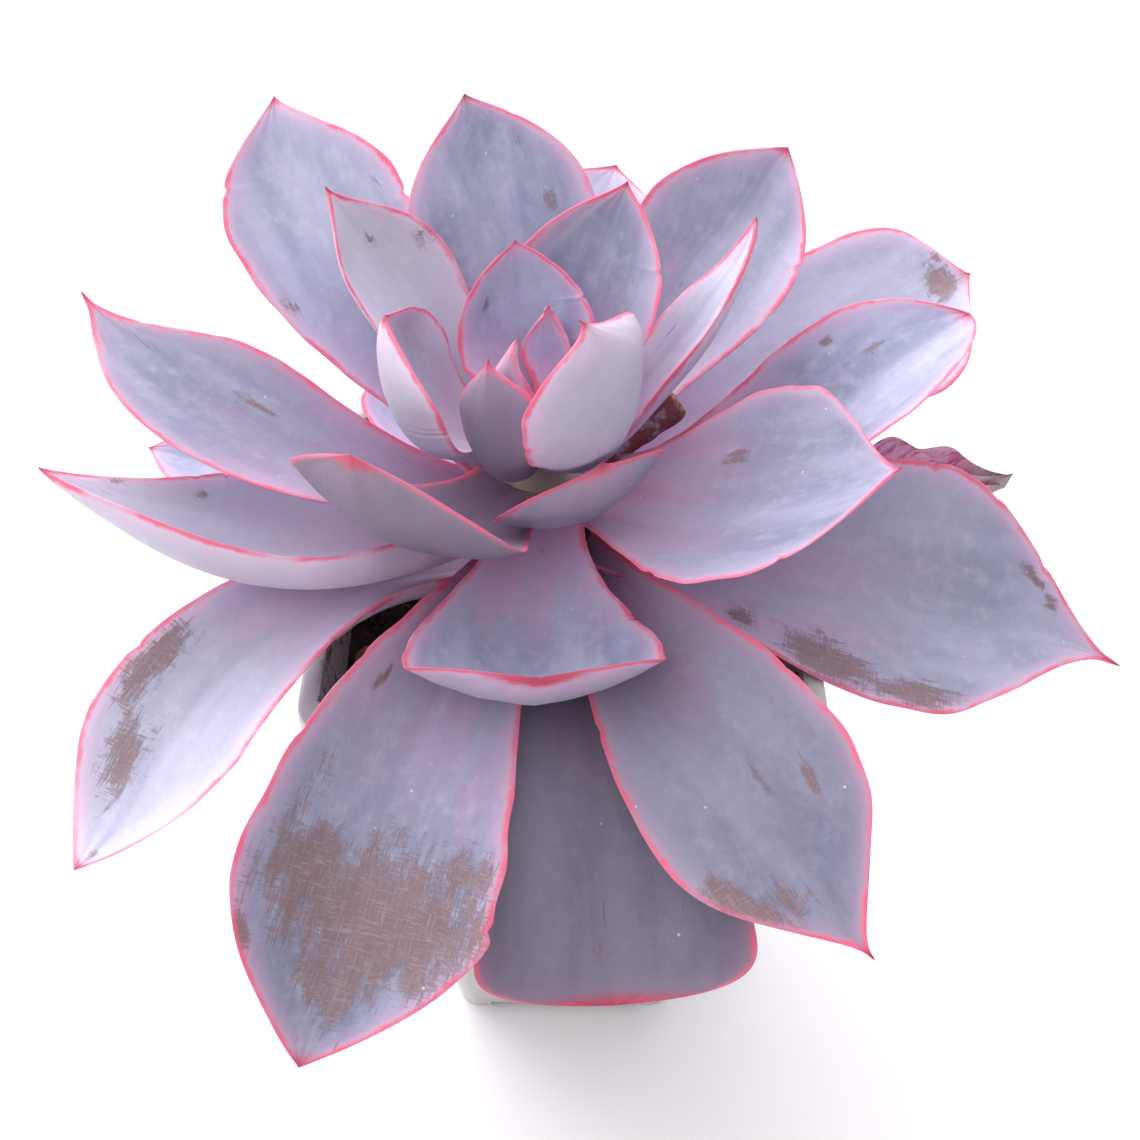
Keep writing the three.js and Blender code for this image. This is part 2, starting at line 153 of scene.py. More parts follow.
class Nodes:
    """A short way to write a shader: each call adds one node and gives back its output."""

    def __init__(self, name):
        self.material = bpy.data.materials.new(name)
        self.material.use_nodes = True
        self.tree = self.material.node_tree
        self.shader = self.tree.nodes["Principled BSDF"]

    def _feed(self, socket, value):
        if isinstance(value, bpy.types.NodeSocket):
            self.tree.links.new(value, socket)
        elif isinstance(value, tuple) and len(value) == 3 and socket.type == "RGBA":
            socket.default_value = (*value, 1)
        else:
            socket.default_value = value

    def attribute(self, name):
        node = self.tree.nodes.new("ShaderNodeAttribute")
        node.attribute_name = name
        return node.outputs["Fac"]

    def place(self):
        """The point's place in the frame, in metres."""
        return self.tree.nodes.new("ShaderNodeTexCoord").outputs["Object"]

    def vector(self, x, y, z):
        node = self.tree.nodes.new("ShaderNodeCombineXYZ")
        for socket, value in zip(node.inputs, (x, y, z)):
            self._feed(socket, value)
        return node.outputs[0]

    def math(self, operation, a, b=0.0):
        node = self.tree.nodes.new("ShaderNodeMath")
        node.operation = operation
        self._feed(node.inputs[0], a)
        self._feed(node.inputs[1], b)
        return node.outputs[0]

    def noise(self, vector, scale, detail=3.0, roughness=0.5):
        node = self.tree.nodes.new("ShaderNodeTexNoise")
        self._feed(node.inputs["Vector"], vector)
        node.inputs["Scale"].default_value = scale
        node.inputs["Detail"].default_value = detail
        node.inputs["Roughness"].default_value = roughness
        return node.outputs["Fac"]

    def cells(self, vector, scale):
        """Distance to the nearest of a scatter of points."""
        node = self.tree.nodes.new("ShaderNodeTexVoronoi")
        self._feed(node.inputs["Vector"], vector)
        node.inputs["Scale"].default_value = scale
        return node.outputs["Distance"]

    def step(self, value, start, end):
        """0 up to start, 1 from end, and eased between; start may be the larger."""
        node = self.tree.nodes.new("ShaderNodeMapRange")
        node.interpolation_type = "SMOOTHSTEP"
        self._feed(node.inputs["Value"], value)
        low, high = min(start, end), max(start, end)
        node.inputs["From Min"].default_value = low
        node.inputs["From Max"].default_value = high
        node.inputs["To Min"].default_value = 0 if start < end else 1
        node.inputs["To Max"].default_value = 1 if start < end else 0
        return node.outputs["Result"]

    def blend(self, share, a, b):
        """Colour a turning to colour b as share goes from 0 to 1."""
        node = self.tree.nodes.new("ShaderNodeMix")
        node.data_type = "RGBA"
        self._feed(node.inputs["Factor"], share)
        self._feed(node.inputs["A"], a)
        self._feed(node.inputs["B"], b)
        return node.outputs["Result"]

    def bump(self, height, distance, strength=1.0):
        node = self.tree.nodes.new("ShaderNodeBump")
        self._feed(node.inputs["Height"], height)
        node.inputs["Distance"].default_value = distance
        node.inputs["Strength"].default_value = strength
        self.tree.links.new(node.outputs["Normal"], self.shader.inputs["Normal"])

    def set(self, socket, value):
        self._feed(self.shader.inputs[socket], value)


LAVENDER = (0.43, 0.435, 0.61)
PALE_BLOOM = (0.60, 0.605, 0.75)
SLATE = (0.27, 0.295, 0.44)
# The next two colours are part bloom and part painted light: the pale one is thick bloom plus painted
# light, the dark one is rubbed-off bloom plus painted shade.
CHALK_AND_PAINTED_LIGHT = (0.82, 0.79, 0.90)
DUSK_AND_PAINTED_SHADE = (0.14, 0.105, 0.145)
LILAC = (0.75, 0.50, 0.75)
MAUVE = (0.62, 0.35, 0.55)
SAGE = (0.52, 0.50, 0.42)
HOT_PINK = (0.88, 0.14, 0.25)
SOFT_PINK = (0.86, 0.48, 0.62)
DEEP_PINK = (0.45, 0.04, 0.09)
UNDERSIDE = (0.45, 0.39, 0.50)
SCAR_BROWN = (0.25, 0.145, 0.14)
SCAR_PALE = (0.36, 0.27, 0.31)
SCRATCH_DARK = (0.13, 0.08, 0.12)
SPECK_PALE = (0.85, 0.83, 0.92)


def leaf_skin(name, pinkness, root):
    """Waxy leaf skin: bloom, pink towards the base and margin, a hot pink edge and old scars.

    Pinkness (0 to 1) says how far the pink spreads, and root is the colour at the very base. The
    skin reads these per-point values: along (0 base, 1 tip), length_mm and cross_mm (places on the
    blade), edge_mm (distance from the margin), under (1 below), scar (0 to 1), seed, and chalky
    (-1 to 1: bloom with painted light and shade; above 0 the bloom is thick and pale and the leaf
    is painted paler as painted light, below 0 the bloom is rubbed off and the leaf is painted
    darker as painted shade).
    """
    skin = Nodes(name)
    along = skin.attribute("along")
    edge = skin.attribute("edge_mm")
    under = skin.attribute("under")
    seed = skin.attribute("seed")
    length_mm = skin.attribute("length_mm")
    cross_mm = skin.attribute("cross_mm")
    on_blade = skin.vector(length_mm, cross_mm, seed)
    drawn_out = skin.vector(skin.math("MULTIPLY", length_mm, 0.25), cross_mm, seed)
    hair_thin = skin.vector(skin.math("MULTIPLY", length_mm, 0.07), cross_mm, seed)
    crosswise = skin.vector(length_mm, skin.math("MULTIPLY", cross_mm, 0.12), seed)

    bands = skin.noise(drawn_out, 0.11, 3, 0.5)
    veins = skin.noise(hair_thin, 0.8, 3, 0.6)
    powder = skin.noise(on_blade, 0.30, 6, 0.68)

    colour = skin.blend(skin.step(bands, 0.32, 0.66), SLATE, LAVENDER)
    bloom = skin.math("MULTIPLY", skin.step(powder, 0.42, 0.80), 0.55)
    colour = skin.blend(bloom, colour, PALE_BLOOM)
    colour = skin.blend(skin.math("MULTIPLY", skin.step(veins, 0.52, 0.75), 0.16), colour, PALE_BLOOM)
    colour = skin.blend(skin.math("MULTIPLY", under, 0.7), colour, UNDERSIDE)

    uneven = skin.math("MULTIPLY", skin.math("SUBTRACT", bands, 0.5), 0.9)
    from_base = skin.math("ADD", along, uneven)
    near_base = skin.step(from_base, 0.50 + 0.30 * pinkness, 0.08)
    colour = skin.blend(skin.math("MULTIPLY", near_base, 0.85), colour, LILAC)
    deep_base = skin.step(from_base, 0.26 + 0.15 * pinkness, 0.0)
    colour = skin.blend(skin.math("MULTIPLY", deep_base, 0.6), colour, root)

    grain = skin.math("SUBTRACT", powder, 0.5)
    wavering = skin.math("ADD", edge, skin.math("MULTIPLY", grain, 9.0))
    near_edge = skin.math("MULTIPLY", skin.step(wavering, 6.5, 0.5), 0.35 + 0.2 * pinkness)
    colour = skin.blend(near_edge, colour, LILAC)
    inside_rim = skin.step(skin.math("ADD", edge, skin.math("MULTIPLY", grain, 4.0)), 3.0, 0.6)
    colour = skin.blend(skin.math("MULTIPLY", inside_rim, 0.5), colour, SOFT_PINK)

    # Per-leaf bloom with painted light and shade: above 0 paler, as thick bloom and painted light; below 0
    # darker, as rubbed-off bloom and painted shade.
    bloom_and_painted_light = skin.attribute("bloom_and_painted_light")
    colour = skin.blend(skin.math("MAXIMUM", bloom_and_painted_light, 0.0), colour, CHALK_AND_PAINTED_LIGHT)
    rubbed = skin.math("MAXIMUM", skin.math("MULTIPLY", bloom_and_painted_light, -1.0), 0.0)
    colour = skin.blend(rubbed, colour, DUSK_AND_PAINTED_SHADE)

    hatch = skin.math("MAXIMUM", skin.noise(hair_thin, 3.0, 4, 0.7), skin.noise(crosswise, 2.6, 4, 0.7))
    blotch = skin.noise(drawn_out, 0.5, 5, 0.65)
    broken = skin.math("ADD", skin.math("MULTIPLY", hatch, 1.5), blotch)
    scar = skin.attribute("scar")
    worn = skin.math("ADD", scar, skin.math("MULTIPLY", skin.math("SUBTRACT", broken, 1.36), 1.5))
    scarred = skin.math("MULTIPLY", skin.step(worn, 0.26, 0.56), skin.step(scar, 0.05, 0.25))
    scar_tone = skin.blend(skin.step(hatch, 0.50, 0.68), SCAR_BROWN, SCAR_PALE)
    colour = skin.blend(skin.math("MULTIPLY", scarred, 0.85), colour, scar_tone)

    line_noise = skin.noise(hair_thin, 2.2, 2, 0.4)
    line_place = skin.noise(on_blade, 0.10, 2)
    scratch = skin.math("MULTIPLY", skin.step(line_noise, 0.68, 0.73), skin.step(line_place, 0.60, 0.67))
    colour = skin.blend(skin.math("MULTIPLY", scratch, 0.5), colour, SCRATCH_DARK)
    speck = skin.step(skin.cells(on_blade, 0.13), 0.045, 0.025)
    colour = skin.blend(skin.math("MULTIPLY", speck, 0.55), colour, SPECK_PALE)

    patchy = skin.step(skin.noise(skin.vector(length_mm, seed, seed), 0.11, 3), 0.34, 0.58)
    rim_strength = skin.math("ADD", skin.math("MULTIPLY", patchy, 0.68), 0.24)
    ragged = skin.math("ADD", edge, skin.math("MULTIPLY", grain, 2.4))
    rim = skin.math("MULTIPLY", skin.step(ragged, 1.5, 0.45), rim_strength)
    colour = skin.blend(rim, colour, HOT_PINK)
    spine = skin.step(along, 0.965, 1.0)
    colour = skin.blend(skin.math("MULTIPLY", spine, 0.8), colour, DEEP_PINK)

    skin.set("Base Color", colour)
    rough = skin.math("ADD", skin.math("MULTIPLY", powder, 0.25), 0.38)
    skin.set("Roughness", skin.math("SUBTRACT", rough, skin.math("MULTIPLY", scarred, 0.06)))
    skin.set("Specular IOR Level", 0.35)
    skin.set("Subsurface Weight", 0.15)
    skin.set("Subsurface Radius", (1.0, 0.5, 0.6))
    skin.set("Subsurface Scale", 0.003)
    relief = skin.math("ADD", skin.math("MULTIPLY", veins, 0.25), skin.math("MULTIPLY", powder, 0.5))
    relief = skin.math("SUBTRACT", relief, skin.math("MULTIPLY", scarred, 0.5))
    skin.bump(relief, 0.0005, 0.5)
    return skin.material


def dried_skin():
    """The shrivelled leaf: papery, from dusty rose to brown-grey, with dark creases."""
    skin = Nodes("dried_skin")
    length_mm = skin.attribute("length_mm")
    cross_mm = skin.attribute("cross_mm")
    along_grain = skin.vector(skin.math("MULTIPLY", length_mm, 0.25), cross_mm, 3.0)
    crease = skin.noise(along_grain, 0.7, 5, 0.7)
    blotch = skin.noise(skin.vector(length_mm, cross_mm, 9.0), 0.09, 4, 0.6)
    colour = skin.blend(skin.step(blotch, 0.35, 0.65), (0.86, 0.42, 0.62), (0.92, 0.68, 0.82))
    colour = skin.blend(skin.step(crease, 0.54, 0.40), colour, (0.55, 0.17, 0.29))
    tip = skin.step(skin.attribute("along"), 0.86, 0.97)
    colour = skin.blend(skin.math("MULTIPLY", tip, 0.8), colour, (0.24, 0.2, 0.2))
    skin.set("Base Color", colour)
    skin.set("Roughness", skin.math("ADD", skin.math("MULTIPLY", crease, 0.2), 0.6))
    skin.bump(crease, 0.002, 0.9)
    return skin.material


def bark(name, light, dark, grain):
    """Rough corky stuff, patched light and dark; grain is the number of patches per metre."""
    stuff = Nodes(name)
    place = stuff.place()
    coarse = stuff.noise(place, grain, 6, 0.65)
    fine = stuff.noise(place, grain * 6, 4, 0.6)
    colour = stuff.blend(stuff.step(coarse, 0.35, 0.65), dark, light)
    colour = stuff.blend(stuff.math("MULTIPLY", stuff.step(fine, 0.55, 0.75), 0.5), colour, dark)
    stuff.set("Base Color", colour)
    stuff.set("Roughness", stuff.math("ADD", stuff.math("MULTIPLY", fine, 0.25), 0.65))
    stuff.bump(stuff.math("ADD", coarse, stuff.math("MULTIPLY", fine, 0.5)), 0.0015, 0.9)
    return stuff.material


def stem_skin():
    """Brown bark low down, pale green living stem where the living value rises to 1."""
    skin = Nodes("stem_bark")
    place = skin.place()
    coarse = skin.noise(place, 160, 6, 0.65)
    colour = skin.blend(skin.step(coarse, 0.35, 0.65), (0.14, 0.08, 0.07), (0.40, 0.27, 0.24))
    colour = skin.blend(skin.attribute("living"), colour, (0.56, 0.54, 0.40))
    skin.set("Base Color", colour)
    skin.set("Roughness", skin.math("ADD", skin.math("MULTIPLY", coarse, 0.3), 0.55))
    skin.bump(coarse, 0.0015, 0.8)
    return skin.material


def stalk_skin():
    """The flower stalk's stub: dark red-brown where rubbed, grey bloom elsewhere, a tan cut end."""
    skin = Nodes("stalk_skin")
    place = skin.place()
    rubbed = skin.noise(place, 140, 5, 0.65)
    colour = skin.blend(skin.step(rubbed, 0.46, 0.56), (0.20, 0.045, 0.05), (0.34, 0.27, 0.36))
    cut = skin.attribute("cut")
    rings = skin.noise(place, 600, 4, 0.6)
    cut_colour = skin.blend(skin.step(rings, 0.4, 0.6), (0.20, 0.05, 0.04), (0.55, 0.30, 0.20))
    colour = skin.blend(cut, colour, cut_colour)
    skin.set("Base Color", colour)
    skin.set("Roughness", skin.math("ADD", skin.math("MULTIPLY", rubbed, 0.3), 0.4))
    skin.bump(rubbed, 0.001, 0.6)
    return skin.material


def soil_stuff(name, from_grains):
    """Dark potting mix; loose grains read their own tone (0 dark, 1 pale) from a per-point value."""
    stuff = Nodes(name)
    place = stuff.place()
    crumb = stuff.noise(place, 420, 6, 0.7)
    colour = stuff.blend(stuff.step(crumb, 0.4, 0.65), (0.012, 0.008, 0.007), (0.06, 0.034, 0.022))
    if from_grains:
        tone = stuff.attribute("tone")
        colour = stuff.blend(stuff.step(tone, 0.55, 0.8), colour, (0.11, 0.055, 0.03))
        colour = stuff.blend(stuff.step(tone, 0.86, 0.92), colour, (0.30, 0.13, 0.05))
        colour = stuff.blend(stuff.step(tone, 0.965, 0.98), colour, (0.62, 0.58, 0.52))
    stuff.set("Base Color", colour)
    stuff.set("Roughness", stuff.math("ADD", stuff.math("MULTIPLY", crumb, 0.2), 0.75))
    stuff.bump(crumb, 0.002, 1.0)
    return stuff.material


def pot_plastic():
    """Satin white plastic, a little scuffed, with soil stuck to the inside of the wall."""
    plastic = Nodes("pot_plastic")
    place = plastic.place()
    scuff = plastic.noise(place, 60, 5, 0.6)
    colour = plastic.blend(plastic.step(scuff, 0.3, 0.75), (0.64, 0.62, 0.62), (0.57, 0.55, 0.56))
    crumbs = plastic.noise(place, 320, 5, 0.65)
    splash = plastic.noise(place, 90, 3, 0.6)
    dirt = plastic.math("MULTIPLY", plastic.step(crumbs, 0.53, 0.58), plastic.step(splash, 0.38, 0.56))
    dirt = plastic.math("MULTIPLY", dirt, plastic.attribute("inside"))
    colour = plastic.blend(dirt, colour, (0.05, 0.032, 0.024))
    plastic.set("Base Color", colour)
    plastic.set("Roughness", plastic.math("ADD", plastic.math("MULTIPLY", scuff, 0.2), 0.30))
    plastic.set("Specular IOR Level", 0.45)
    plastic.set("Subsurface Weight", 0.1)
    plastic.set("Subsurface Scale", 0.002)
    plastic.bump(plastic.noise(place, 900, 3), 0.0002, 0.25)
    return plastic.material


# ---- leaves ----

# The same leaves as in the CAD: azimuth and rise of the chord in degrees, height of the base,
# length and flat width in millimetres, bow of the midrib (arch up, sway left) as a share of the
# length, cup of the left and right margin and roll of the blade in degrees, lift of the tip in
# millimetres. Scars are (along, across, half length, half width, strength), in shares of the blade.
USUAL = {
    "arch": 0.05,
    "sway": 0.0,
    "widest": 0.6,
    "shoulder": 2.8,
    "point": 1.2,
    "neck": 0.36,
    "thick": 4.0,
    "cup": (22, 22),
    "keel": 6,
    "roll": 0,
    "ripple": 0.0,
    "hook": 2.0,
    "drift": 0.0,
    "slot": "leaf",
    "scars": (),
    "dried": False,
}

YOUNG = {"slot": "young_leaf", "thick": 3.2}
OLD = {"slot": "old_leaf"}

LEAVES = {
    "bud_leaf_front": {
        **YOUNG, "azimuth": 241, "rise": 69, "height": 186, "length": 24, "width": 10, "widest": 0.53,
        "shoulder": 2, "arch": -0.1, "sway": -0.03, "cup": (50, 50), "roll": -12, "hook": 4,
    },
    "bud_leaf_back": {
        **YOUNG, "azimuth": 79, "rise": 80, "height": 187, "length": 20, "width": 11, "widest": 0.52,
        "shoulder": 1.8, "point": 1.6, "arch": -0.05, "cup": (40, 40), "hook": 0,
    },
    "heart_leaf_back": {
        **YOUNG, "azimuth": 105, "rise": 61, "height": 181, "length": 36, "width": 32, "widest": 0.43,
        "shoulder": 2.5, "arch": 0.06, "cup": (44, 56), "roll": -9,
        "scars": [
            (0.67, 0.59, 0.05, 0.06, 0.8),
        ],
    },
    "heart_leaf_front": {
        **YOUNG, "azimuth": 236, "rise": 63, "height": 180, "length": 32, "width": 18, "widest": 0.8,
        "shoulder": 2.8, "point": 1.8, "arch": -0.28, "sway": 0.14, "cup": (50, 45), "roll": 8,
        "hook": 3,
    },
    "heart_leaf_right": {
        **YOUNG, "azimuth": 312, "rise": 71, "height": 178, "length": 44, "width": 44, "widest": 0.68,
        "shoulder": 3.9, "point": 2.1, "arch": -0.2, "sway": -0.01, "cup": (38, 38), "roll": 18,
        "hook": 3, "drift": -6,
    },
    "heart_leaf_left": {
        **YOUNG, "azimuth": 187, "rise": 54, "height": 177, "length": 42, "width": 42, "shoulder": 3.8,
        "arch": -0.18, "sway": 0.04, "cup": (56, 24), "roll": -7,
    },
    "inner_leaf_back": {
        "azimuth": 62, "rise": 56, "height": 173, "length": 54, "width": 35, "widest": 0.57,
        "shoulder": 2, "arch": 0.06, "cup": (30, 33),
    },
    "inner_leaf_back_left": {
        "azimuth": 145, "rise": 49, "height": 169, "length": 66, "width": 29, "widest": 0.65,
        "shoulder": 2.3, "point": 1.6, "arch": 0, "cup": (43, 23), "roll": -3, "hook": 0,
        "scars": [
            (0.72, -0.85, 0.05, 0.2, 0.6),
            (0.8, -0.17, 0.03, 0.06, 0.7),
        ],
    },
    "inner_leaf_right": {
        "azimuth": 31, "rise": 45, "height": 171, "length": 60, "width": 23, "widest": 0.56,
        "shoulder": 1.5, "point": 1, "arch": 0.03, "sway": -0.09, "cup": (18, 18), "roll": -25,
    },
    "inner_leaf_front": {
        "azimuth": 292, "rise": 44, "height": 171, "length": 28, "width": 37, "widest": 0.7,
        "shoulder": 4.4, "point": 1.7, "arch": -0.1, "sway": -0.02, "cup": (10, 8), "roll": 6,
        "hook": 4, "drift": 2,
    },
    "inner_leaf_front_left": {
        "azimuth": 227, "rise": 35, "height": 171, "length": 52, "width": 52, "widest": 0.67,
        "shoulder": 3.4, "point": 0.9, "arch": -0.16, "sway": 0.05, "cup": (8, 8), "roll": 11,
        "hook": 5.5,
    },
    "middle_leaf_back": {
        "azimuth": 106, "rise": 49, "height": 163, "length": 79, "width": 41, "shoulder": 2.5,
        "arch": 0.06, "sway": -0.035, "cup": (12, 22), "roll": -4,
        "scars": [
            (0.67, -0.54, 0.04, 0.08, 0.6),
        ],
    },
    "middle_leaf_back_left": {
        "azimuth": 133, "rise": 35, "height": 160, "length": 98, "width": 40, "widest": 0.69,
        "shoulder": 1.9, "arch": 0.07, "sway": 0.08, "cup": (32, 28), "roll": -22, "hook": 3,
        "drift": -3,
        "scars": [
            (0.55, 0.84, 0.03, 0.12, 0.6),
        ],
    },
    "middle_leaf_back_right": {
        "azimuth": 45, "rise": 37, "height": 162, "length": 82, "width": 40, "widest": 0.69,
        "shoulder": 2.1, "point": 1, "arch": -0.01, "sway": 0.04, "cup": (25, 25), "roll": 15,
        "hook": 5,
    },
    "middle_leaf_right": {
        "azimuth": 15, "rise": 25, "height": 158, "length": 88, "width": 38, "widest": 0.65,
        "shoulder": 3.4, "point": 0.8, "arch": -0.03, "sway": -0.08, "cup": (30, 30), "hook": 0,
        "drift": -3,
        "scars": [
            (0.79, 0.34, 0.03, 0.06, 0.7),
            (0.71, 0.73, 0.02, 0.08, 0.8),
        ],
    },
    "middle_leaf_front_right": {
        "azimuth": 340, "rise": 23, "height": 167, "length": 67, "width": 60, "widest": 0.54,
        "shoulder": 3.6, "point": 1.9, "arch": -0.05, "sway": -0.05, "cup": (14, 14), "roll": 0,
        "hook": 0,
        "scars": [
            (0.46, 0.45, 0.05, 0.06, 0.8),
        ],
    },
    "middle_leaf_front": {
        "azimuth": 270, "rise": 2, "height": 167, "length": 54, "width": 50, "widest": 0.76,
        "shoulder": 4.9, "point": 0.9, "arch": -0.14, "sway": -0.03, "cup": (19, 20), "hook": 10,
    },
    "middle_leaf_left": {
        "azimuth": 163, "rise": 20, "height": 159, "length": 98, "width": 36, "widest": 0.58,
        "shoulder": 2.2, "point": 1.8, "arch": 0.03, "sway": 0.16,
        "scars": [
            (0.54, -0.36, 0.07, 0.05, 0.9),
        ],
    },
    "outer_leaf_front": {
        **OLD, "azimuth": 278, "rise": -14, "height": 148, "length": 91, "width": 52, "widest": 0.85,
        "shoulder": 5.3, "point": 0.8, "arch": 0.155, "sway": 0.02, "cup": (12, 12),
        "scars": [
            (0.48, -0.31, 0.05, 0.03, 0.9),
            (0.9, -0.1, 0.03, 0.1, 0.5),
        ],
    },
    "outer_leaf_front_left": {
        **OLD, "azimuth": 251, "rise": -13, "height": 153, "length": 111, "width": 49, "widest": 0.75,
        "shoulder": 1.5, "point": 1.0, "arch": 0.135, "sway": -0.02, "cup": (16, 34), "roll": -14,
        "hook": 3.5, "drift": -3,
        "scars": [
            (0.76, 0.2, 0.12, 0.9, 1.0),
            (0.72, -0.45, 0.09, 0.4, 0.9),
            (0.86, 0.0, 0.08, 0.5, 0.8),
            (0.66, 0.75, 0.05, 0.3, 0.7),
            (0.62, -0.65, 0.14, 0.18, 0.45),
            (0.4, -0.66, 0.03, 0.05, 1.0),
            (0.82, -0.93, 0.03, 0.1, 0.9),
        ],
    },
    "outer_leaf_front_right": {
        **OLD, "azimuth": 301, "rise": -8, "height": 154, "length": 104, "width": 43, "widest": 0.67,
        "shoulder": 2.2, "point": 1.8, "arch": 0.1, "sway": -0.03, "cup": (34, 18), "roll": 20,
        "drift": 1,
        "scars": [
            (0.64, 0.12, 0.05, 0.03, 0.9),
            (0.7, 0.5, 0.04, 0.06, 0.9),
            (0.81, -0.8, 0.08, 0.18, 1.0),
            (0.85, -0.45, 0.05, 0.35, 0.6),
        ],
    },
    "outer_leaf_right": {
        **OLD, "azimuth": 351, "rise": -9, "height": 153, "length": 117, "width": 58, "shoulder": 1.8,
        "point": 2, "neck": 0.6, "arch": 0.05, "sway": -0.02, "cup": (36, 26), "roll": 24, "hook": -1,
        "drift": -2,
        "scars": [
            (0.8, 0.72, 0.03, 0.1, 0.9),
            (0.84, 0.62, 0.015, 0.16, 0.7),
            (0.44, -0.78, 0.09, 0.22, 1.0),
            (0.6, -0.85, 0.08, 0.13, 1.0),
            (0.29, -0.7, 0.03, 0.16, 0.9),
        ],
    },
    "outer_leaf_left_front": {
        **OLD, "azimuth": 228, "rise": -4, "height": 149, "length": 107, "width": 35, "widest": 0.73,
        "shoulder": 1.5, "point": 1.0, "arch": 0.1, "sway": -0.17, "cup": (36, 12), "roll": -10,
        "hook": 8, "drift": -6,
        "scars": [
            (0.63, -0.74, 0.08, 0.22, 0.95),
            (0.78, -0.45, 0.08, 0.28, 0.8),
            (0.96, 0.0, 0.02, 0.3, 0.6),
        ],
    },
    "outer_leaf_left": {
        **OLD, "azimuth": 189, "rise": 17, "height": 159, "length": 92, "width": 46, "widest": 0.42,
        "shoulder": 2.2, "point": 1.2, "arch": -0.08, "sway": 0.12, "cup": (68, 16), "roll": 6,
        "hook": 1, "drift": 2,
        "scars": [
            (0.68, -0.72, 0.02, 0.1, 0.7),
            (0.87, -0.8, 0.03, 0.2, 0.6),
        ],
    },
    "outer_leaf_back_right": {
        **OLD, "azimuth": 25, "rise": 20, "height": 149, "length": 102, "width": 50, "widest": 0.75,
        "shoulder": 4.2, "point": 1.6, "arch": 0.01, "sway": 0.06, "cup": (18, 13), "roll": 7,
        "hook": 4, "drift": 2,
        "scars": [
            (0.94, 0.2, 0.035, 0.36, 1.0),
            (0.95, 0.72, 0.015, 0.2, 0.6),
        ],
    },
    "outer_leaf_back": {
        **OLD, "azimuth": 79, "rise": 26, "height": 152, "length": 86, "width": 45, "shoulder": 3.1,
        "sway": 0.06, "roll": 3,
    },
    "lowest_leaf_left": {**OLD, "azimuth": 164, "rise": 3, "height": 148, "length": 84, "width": 36},
    "lowest_leaf_back_left": {**OLD, "azimuth": 126, "rise": 6, "height": 151, "length": 54, "width": 34},
    "lowest_leaf_back": {**OLD, "azimuth": 110, "rise": 6, "height": 148, "length": 84, "width": 40},
    "lowest_leaf_back_right": {**OLD, "azimuth": 52, "rise": 3, "height": 147, "length": 86, "width": 42},
    "dried_leaf": {
        "azimuth": 14, "rise": -3, "height": 147, "length": 101, "width": 20, "arch": 0.06,
        "cup": (70, 60), "ripple": 2.2, "thick": 2.2, "slot": "dried_leaf", "dried": True,
    },
}

# How thick each leaf's bloom is, with painted light and shade laid over it: above 0 thick and pale,
# and painted paler as painted light, mostly on leaves at the back and left that face the window;
# below 0 rubbed off, and painted darker as painted shade, mostly on leaves at the front. A leaf
# that isn't named has the usual bloom, 0.
BLOOM_AND_PAINTED_LIGHT = {
    "heart_leaf_front": -0.6,
    "heart_leaf_left": 0.35,
    "heart_leaf_right": 0.3,
    "inner_leaf_front": -0.3,
    "inner_leaf_front_left": -0.7,
    "inner_leaf_back": -0.2,
    "inner_leaf_back_left": 0.5,
    "inner_leaf_right": 0.3,
    "middle_leaf_back_left": 0.1,
    "middle_leaf_back_right": 0.15,
    "middle_leaf_front_right": -0.25,
    "middle_leaf_left": -0.25,
    "outer_leaf_front": -0.7,
    "outer_leaf_front_left": -0.2,
    "outer_leaf_front_right": -0.4,
    "outer_leaf_left_front": 0.3,
    "outer_leaf_left": 0.45,
    "outer_leaf_right": 0.1,
    "outer_leaf_back_right": 0.25,
    "outer_leaf_back": 0.35,
}

# Mesh of a leaf, thickness of its margin, and the narrow spur that ends it: the share of the
# length at which the spur begins to taper, and half its width there, in millimetres.
ROWS_ALONG = 128
COLUMNS_OVER = 44
EDGE_THICK = 0.8
SPUR_START = 0.95
SPUR_HALF = 0.9
FIRST_SEED = 100


def stem_radius(z):
    return mix(STEM_FOOT_RADIUS, STEM_TOP_RADIUS, ease((z - STEM_SHOULDER) / (STEM_TOP - STEM_SHOULDER)))


def half_width(leaf, s, hand, rng):
    """Half the flat width along the blade: narrow neck, broad shoulders, drawn-out tip with a spur."""
    before = mix(leaf["neck"], 1, ease(s / leaf["widest"]))
    u = np.clip((s - leaf["widest"]) / (1 - leaf["widest"]), 0, 1)
    after = (1 - u ** leaf["shoulder"]) ** leaf["point"]
    blade = np.where(s < leaf["widest"], before, after) * leaf["width"] / 2
    worn = 1 + 0.012 * ripples(rng, s + 3 * hand, 15, 60) * ease(s * 4)
    for _ in range(3):
        nick = np.exp(-(((s - rng.uniform(0.3, 0.95)) / 0.008) ** 2)) * (hand == rng.choice([-1, 1]))
        worn = worn - rng.uniform(0.01, 0.05) * nick
    spur = SPUR_HALF * np.clip((1 - s) / (1 - SPUR_START), 0, 1) ** 0.8
    return np.maximum(blade * worn, np.where(s > 0.8, spur, 0))


